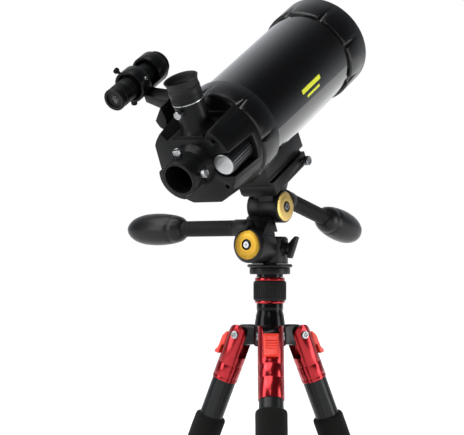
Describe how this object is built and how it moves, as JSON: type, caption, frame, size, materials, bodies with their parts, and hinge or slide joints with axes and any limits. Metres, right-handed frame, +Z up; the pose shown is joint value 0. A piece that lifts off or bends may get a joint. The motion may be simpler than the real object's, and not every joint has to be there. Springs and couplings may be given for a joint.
{
  "type": "maksutov telescope on a tripod",
  "caption": "Compact Maksutov spotting telescope with flip mirror, angled eyepiece and finder, on a pan head and red and black travel tripod.",
  "frame": {"origin": "on the floor at the centre of the three feet, on the pan axis and the centre column's axis", "axes": "+Z up along the centre column; -Y towards the front leg; +X towards the right leg's side"},
  "size_m": [0.3572, 0.3325, 0.7587],
  "materials": {
    "gloss_black_casting": "gloss",
    "chrome_hardware": "polished",
    "red_anodised": "satin anodised",
    "carbon_tube": "satin",
    "foam": "matt closed-cell foam",
    "black_rubber": "matt, ribbed",
    "satin_black_metal": "satin powder coat",
    "gold_anodised": "turned, anodised",
    "ribbed_sleeve": "matt",
    "satin_black_grip": "satin",
    "gloss_black_tube": "high gloss",
    "black_moulding": "satin moulded",
    "lens_glass": "coated",
    "mirror_coating": "aluminised",
    "matt_black_metal": "matt anodised"
  },
  "bodies": {
    "tripod": {"spider": "gloss_black_casting", "leg_hinge_bolts": "chrome_hardware"},
    "front_leg": {"front_leg_fork": "red_anodised", "front_leg_tube": "carbon_tube", "front_leg_grip": "foam"},
    "front_leg_latch": {"front_leg_latch": "red_anodised"},
    "front_leg_lock": {"front_leg_lock": "black_rubber"},
    "front_leg_lower": {"front_leg_lower_tube": "carbon_tube", "front_leg_foot": "black_rubber"},
    "right_leg": {"right_leg_fork": "red_anodised", "right_leg_tube": "carbon_tube", "right_leg_grip": "foam"},
    "right_leg_latch": {"right_leg_latch": "red_anodised"},
    "right_leg_lock": {"right_leg_lock": "black_rubber"},
    "right_leg_lower": {"right_leg_lower_tube": "carbon_tube", "right_leg_foot": "black_rubber"},
    "left_leg": {"left_leg_fork": "red_anodised", "left_leg_tube": "carbon_tube", "left_leg_grip": "foam"},
    "left_leg_latch": {"left_leg_latch": "red_anodised"},
    "left_leg_lock": {"left_leg_lock": "black_rubber"},
    "left_leg_lower": {"left_leg_lower_tube": "carbon_tube", "left_leg_foot": "black_rubber"},
    "column": {"column_tube": "carbon_tube", "pan_base": "satin_black_metal"},
    "column_lock": {"column_lock_grip": "black_rubber", "column_lock_collars": "red_anodised"},
    "pan_body": {"pan_body": "satin_black_metal"},
    "pan_lock_knob": {"pan_lock_knob": "satin_black_metal"},
    "tilt_arm": {"tilt_arm": "satin_black_metal", "side_tilt_cap": "gold_anodised"},
    "side_handle": {"side_handle_rod": "ribbed_sleeve", "side_handle_grip": "satin_black_grip"},
    "tilt_platform": {"tilt_platform": "satin_black_metal", "front_tilt_cap": "gold_anodised"},
    "front_handle": {"front_handle_rod": "ribbed_sleeve", "front_handle_grip": "satin_black_grip"},
    "clamp_knob": {"clamp_knob": "chrome_hardware"},
    "telescope": {"dovetail_foot": "satin_black_metal", "main_tube": "gloss_black_tube", "front_cell": "black_moulding", "corrector_lens": "lens_glass", "rear_ring": "black_moulding", "mirror_baffle": "matt_black_metal", "rear_housing": "black_moulding", "eyepiece_holder": "black_moulding", "rear_port": "black_moulding", "finder_bracket": "black_moulding", "finder_tube": "matt_black_metal"},
    "focus_knob": {"focus_knob": "black_moulding"},
    "primary_mirror": {"primary_mirror": "mirror_coating"},
    "flip_mirror": {"flip_mirror": "black_moulding"},
    "eyepiece": {"eyepiece_body": "matt_black_metal", "eyepiece_cup": "black_rubber"},
    "holder_screw": {"holder_screw": "chrome_hardware"},
    "port_screw_top": {"port_screw_top": "chrome_hardware"},
    "port_screw_side": {"port_screw_side": "chrome_hardware"},
    "finder_screw_upper": {"finder_screw_upper": "matt_black_metal"},
    "finder_screw_lower": {"finder_screw_lower": "matt_black_metal"},
    "finder_eyepiece": {"finder_eyepiece": "matt_black_metal"}
  },
  "joints": [
    {"name": "front_leg_spread", "type": "hinge", "parent": "tripod", "child": "front_leg", "pos_m": [0, -0.039, 0.35293], "axis": [-1, 0, 0], "range_deg": [-22.8, 0]},
    {"name": "front_latch_slide", "type": "slide", "parent": "front_leg", "child": "front_leg_latch", "axis": [0, -0.3875, -0.9219], "range_m": [0, 0.006], "stiffness_N_per_m": 400},
    {"name": "front_lock_twist", "type": "hinge", "parent": "front_leg", "child": "front_leg_lock", "pos_m": [0, -0.039, 0.35293], "axis": [0, -0.3875, -0.9219], "range_deg": [0, 120]},
    {"name": "front_leg_extend", "type": "slide", "parent": "front_leg", "child": "front_leg_lower", "axis": [0, -0.3875, -0.9219], "range_m": [0, 0.12]},
    {"name": "right_leg_spread", "type": "hinge", "parent": "tripod", "child": "right_leg", "pos_m": [0.03377, 0.0195, 0.35293], "axis": [0.5, -0.866, 0], "range_deg": [-22.8, 0]},
    {"name": "right_latch_slide", "type": "slide", "parent": "right_leg", "child": "right_leg_latch", "axis": [0.3356, 0.1938, -0.9219], "range_m": [0, 0.006], "stiffness_N_per_m": 400},
    {"name": "right_lock_twist", "type": "hinge", "parent": "right_leg", "child": "right_leg_lock", "pos_m": [0.03377, 0.0195, 0.35293], "axis": [0.3356, 0.1938, -0.9219], "range_deg": [0, 120]},
    {"name": "right_leg_extend", "type": "slide", "parent": "right_leg", "child": "right_leg_lower", "axis": [0.3356, 0.1938, -0.9219], "range_m": [0, 0.12]},
    {"name": "left_leg_spread", "type": "hinge", "parent": "tripod", "child": "left_leg", "pos_m": [-0.03377, 0.0195, 0.35293], "axis": [0.5, 0.866, 0], "range_deg": [-22.8, 0]},
    {"name": "left_latch_slide", "type": "slide", "parent": "left_leg", "child": "left_leg_latch", "axis": [-0.3356, 0.1938, -0.9219], "range_m": [0, 0.006], "stiffness_N_per_m": 400},
    {"name": "left_lock_twist", "type": "hinge", "parent": "left_leg", "child": "left_leg_lock", "pos_m": [-0.03377, 0.0195, 0.35293], "axis": [-0.3356, 0.1938, -0.9219], "range_deg": [0, 120]},
    {"name": "left_leg_extend", "type": "slide", "parent": "left_leg", "child": "left_leg_lower", "axis": [-0.3356, 0.1938, -0.9219], "range_m": [0, 0.12]},
    {"name": "column_slide", "type": "slide", "parent": "tripod", "child": "column", "axis": [0, 0, 1], "range_m": [0, 0.15]},
    {"name": "column_lock_twist", "type": "hinge", "parent": "tripod", "child": "column_lock", "pos_m": [0, 0, 0.40493], "axis": [0, 0, 1], "range_deg": [0, 120]},
    {"name": "pan", "type": "hinge", "parent": "column", "child": "pan_body", "pos_m": [0, 0, 0.43593], "axis": [0, 0, 1], "continuous": true},
    {"name": "pan_lock", "type": "hinge", "parent": "pan_body", "child": "pan_lock_knob", "pos_m": [0.02048, -0.01434, 0.45403], "axis": [0.8192, -0.5736, 0], "range_deg": [0, 180]},
    {"name": "side_tilt", "type": "hinge", "parent": "pan_body", "child": "tilt_arm", "pos_m": [-0.01721, -0.02457, 0.45803], "axis": [-0.5736, -0.8192, 0], "range_deg": [-35, 35]},
    {"name": "side_handle_twist", "type": "hinge", "parent": "tilt_arm", "child": "side_handle", "pos_m": [-0.03933, -0.0213, 0.47743], "axis": [-0.8192, 0.5736, 0], "range_deg": [0, 180]},
    {"name": "front_tilt", "type": "hinge", "parent": "tilt_arm", "child": "tilt_platform", "pos_m": [0, 0, 0.50293], "axis": [0.8192, -0.5736, 0], "range_deg": [-45, 58]},
    {"name": "front_handle_twist", "type": "hinge", "parent": "tilt_platform", "child": "front_handle", "pos_m": [0.01266, -0.00528, 0.51519], "axis": [0.5577, 0.7965, -0.2334], "range_deg": [0, 180]},
    {"name": "clamp_screw", "type": "hinge", "parent": "tilt_platform", "child": "clamp_knob", "pos_m": [0.04015, 0.01376, 0.55797], "axis": [0.8192, -0.5736, 0], "range_deg": [0, 720]},
    {"name": "plate_slide", "type": "slide", "parent": "tilt_platform", "child": "telescope", "axis": [0.4891, 0.6984, 0.5225], "range_m": [-0.012, 0.012]},
    {"name": "focus", "type": "hinge", "parent": "telescope", "child": "focus_knob", "pos_m": [-0.05364, -0.14286, 0.54314], "axis": [-0.4891, -0.6984, -0.5225], "range_deg": [-1080, 1080]},
    {"name": "mirror_slide", "type": "slide", "parent": "telescope", "child": "primary_mirror", "axis": [0.4891, 0.6984, 0.5225], "range_m": [-0.0021, 0.0021]},
    {"name": "flip", "type": "hinge", "parent": "telescope", "child": "flip_mirror", "pos_m": [-0.06334, -0.09045, 0.5549], "axis": [0.8192, -0.5736, 0], "range_deg": [0, 60]},
    {"name": "eyepiece_slide", "type": "slide", "parent": "telescope", "child": "eyepiece", "axis": [-0.2997, -0.428, 0.8526], "range_m": [0, 0.03]},
    {"name": "holder_screw_turn", "type": "hinge", "parent": "telescope", "child": "holder_screw", "pos_m": [-0.10056, -0.14362, 0.59957], "axis": [-0.4891, -0.6984, -0.5225], "range_deg": [0, 360]},
    {"name": "port_screw_top_turn", "type": "hinge", "parent": "telescope", "child": "port_screw_top", "pos_m": [-0.10377, -0.14819, 0.55509], "axis": [-0.2997, -0.428, 0.8526], "range_deg": [0, 360]},
    {"name": "port_screw_side_turn", "type": "hinge", "parent": "telescope", "child": "port_screw_side", "pos_m": [-0.0758, -0.15183, 0.53378], "axis": [0.8192, -0.5736, 0], "range_deg": [0, 360]},
    {"name": "finder_screw_upper_turn", "type": "hinge", "parent": "telescope", "child": "finder_screw_upper", "pos_m": [-0.17182, -0.0673, 0.65229], "axis": [-0.7911, 0.1029, 0.6029], "range_deg": [0, 360]},
    {"name": "finder_screw_lower_turn", "type": "hinge", "parent": "telescope", "child": "finder_screw_lower", "pos_m": [-0.15597, -0.05739, 0.6242], "axis": [0.0015, 0.5984, -0.8012], "range_deg": [0, 360]},
    {"name": "finder_focus", "type": "hinge", "parent": "telescope", "child": "finder_eyepiece", "pos_m": [-0.17654, -0.0987, 0.61828], "axis": [-0.4891, -0.6984, -0.5225], "range_deg": [-180, 180]}
  ],
  "couplings": [
    {"joint": "focus", "follows": "mirror_slide", "rad_per_m": 8976}
  ]
}
